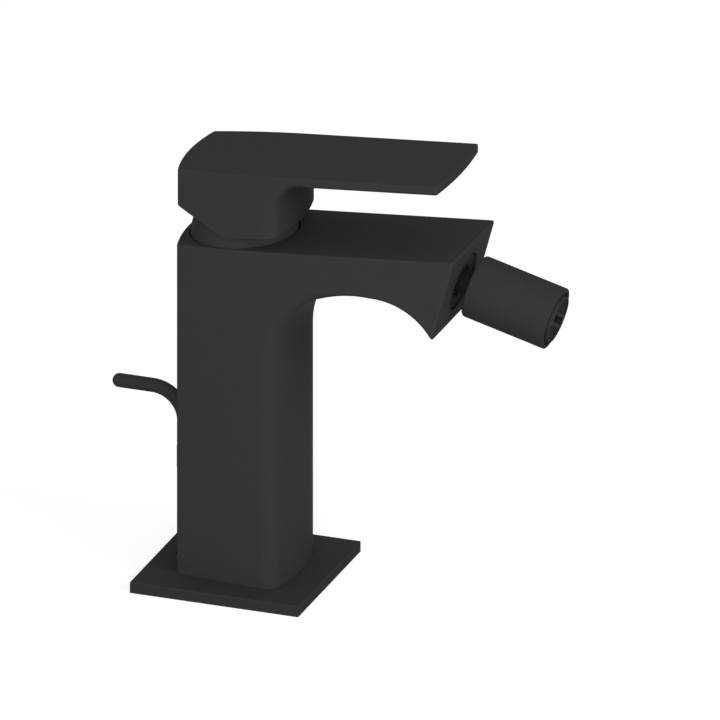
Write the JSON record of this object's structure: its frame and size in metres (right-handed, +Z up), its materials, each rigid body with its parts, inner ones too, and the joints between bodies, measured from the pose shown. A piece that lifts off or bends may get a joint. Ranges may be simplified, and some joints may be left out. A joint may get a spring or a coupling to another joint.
{
  "type": "bidet mixer",
  "caption": "Single-lever bidet mixer: square column with an arched spout and a swivelling nozzle, a flat lever on a domed cover, and a rear pop-up rod.",
  "frame": {"origin": "centre of the base plate's underside, at the mouth of the stud hole", "axes": "+X along the spout, away from the column; +Z up; +Y completes a right-handed frame and is on the cold side"},
  "size_m": [0.1607, 0.06, 0.1589],
  "materials": {
    "coated_plate": "matt black coat",
    "gasket_rubber": "moulded",
    "coated_body": "matt black coat",
    "clip_plastic": "moulded",
    "coated_rod": "matt black coat",
    "cartridge_plastic": "moulded",
    "seal_rubber": "moulded",
    "disc_ceramic": "lapped",
    "steel": "turned",
    "brass": "turned",
    "coated_dome": "matt black coat",
    "coated_lever": "matt black coat",
    "cap_plastic": "moulded",
    "coated_nipple": "matt black coat",
    "ring_steel": "turned",
    "liner_plastic": "moulded",
    "coated_nozzle": "matt black coat",
    "coated_shell": "matt black coat",
    "mesh_plastic": "moulded",
    "grille_plastic": "moulded"
  },
  "bodies": {
    "body": {"base_plate": "coated_plate", "plate_gasket": "gasket_rubber", "body_casting": "coated_body", "spigot_seal": "gasket_rubber", "rod_clip": "clip_plastic", "cartridge_base": "cartridge_plastic", "port_seals": "seal_rubber", "cartridge_housing": "cartridge_plastic", "fixed_disc": "disc_ceramic", "retaining_nut": "brass", "dome_cover": "coated_dome", "ball_nipple": "coated_nipple", "nipple_ring": "ring_steel"},
    "turning_group": {"stem_guide": "cartridge_plastic", "guide_oring": "seal_rubber", "pivot_pin": "steel"},
    "disc_group": {"moving_disc": "disc_ceramic", "disc_carrier": "cartridge_plastic"},
    "lever_group": {"lever": "coated_lever", "lever_stem": "steel", "lever_screw": "steel", "screw_cap": "cap_plastic"},
    "nozzle_liner": {"ball_liner": "liner_plastic"},
    "nozzle": {"nozzle_sleeve": "coated_nozzle", "seat_bush": "brass", "aerator_washer": "seal_rubber", "aerator_shell": "coated_shell", "aerator_mesh": "mesh_plastic", "aerator_grille": "grille_plastic"},
    "rod": {"popup_rod": "coated_rod"}
  },
  "joints": [
    {"name": "lever_turn", "type": "hinge", "parent": "body", "child": "turning_group", "pos_m": [0, 0, 0.123], "axis": [0, 0, 1], "range_deg": [-45, 45]},
    {"name": "lever_lift", "type": "hinge", "parent": "turning_group", "child": "lever_group", "pos_m": [0, 0, 0.123], "axis": [0, -1, 0], "range_deg": [0, 25]},
    {"name": "disc_slide", "type": "slide", "parent": "turning_group", "child": "disc_group", "axis": [1, 0, 0], "range_m": [0, 0.00451]},
    {"name": "nozzle_yaw", "type": "hinge", "parent": "body", "child": "nozzle_liner", "pos_m": [0.08926, 0, 0.11396], "axis": [0.2588, 0, 0.9659], "range_deg": [-15, 15]},
    {"name": "nozzle_pitch", "type": "hinge", "parent": "nozzle_liner", "child": "nozzle", "pos_m": [0.08926, 0, 0.11396], "axis": [0, 1, 0], "range_deg": [-15, 15]},
    {"name": "rod_slide", "type": "slide", "parent": "body", "child": "rod", "axis": [0, 0, 1], "range_m": [0, 0.025]}
  ],
  "couplings": [
    {"joint": "disc_slide", "follows": "lever_lift", "m_per_rad": 0.010318}
  ]
}
